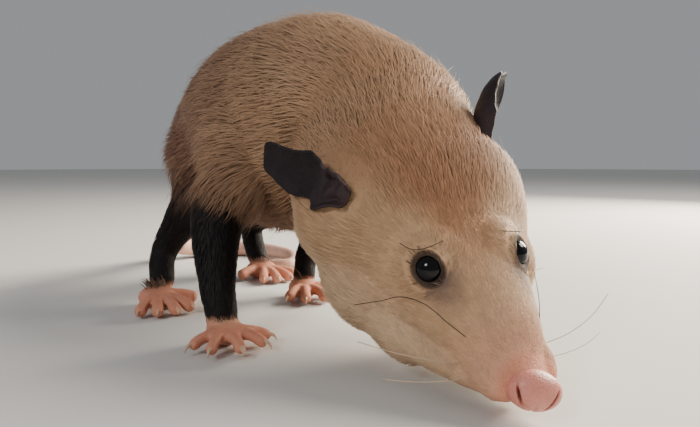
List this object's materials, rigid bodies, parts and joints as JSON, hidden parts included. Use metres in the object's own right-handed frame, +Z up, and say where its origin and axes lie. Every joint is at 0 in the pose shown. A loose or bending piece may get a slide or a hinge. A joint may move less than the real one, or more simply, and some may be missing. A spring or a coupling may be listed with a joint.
{
  "type": "opossum",
  "caption": "Life-size opossum standing with its head lowered and turned to sniff the ground, with a shaggy coat, bare ears and feet, and a scaly tail curled on the floor.",
  "frame": {"origin": "on the floor, below the middle of the whole animal's bounding box", "axes": "+X from the tail towards the head, +Y to the animal's left, +Z up from the floor"},
  "size_m": [0.3764, 0.1534, 0.1515],
  "materials": {
    "face_fur": "short pale cream fur, tan on the crown",
    "body_fur": "shaggy rose-brown fur with darker guard hairs",
    "leg_fur": "short black-brown fur",
    "foot_skin": "bare peach-pink skin with pale claws",
    "nose_skin": "moist pink skin",
    "ear_skin": "thin wrinkled near-black skin",
    "eye": "wet glossy black",
    "dark_tail": "scaly black-brown skin",
    "pale_tail": "scaly pale pink skin"
  },
  "bodies": {
    "root": {"head": "face_fur", "lower_jaw": "face_fur", "nose": "nose_skin", "eye_left": "eye", "eye_right": "eye", "ear_left": "ear_skin", "ear_right": "ear_skin", "neck": "body_fur", "shoulders": "body_fur", "loin": "body_fur", "rump": "body_fur", "tail_root": "dark_tail", "tail_middle": "pale_tail", "tail_end": "pale_tail", "upper_arm_right": "leg_fur", "forearm_right": "leg_fur", "thigh_right": "leg_fur", "shank_right": "leg_fur", "forefoot_right": "foot_skin", "hindfoot_right": "foot_skin", "upper_arm_left": "leg_fur", "forearm_left": "leg_fur", "thigh_left": "leg_fur", "shank_left": "leg_fur", "forefoot_left": "foot_skin", "hindfoot_left": "foot_skin"}
  },
  "joints": []
}
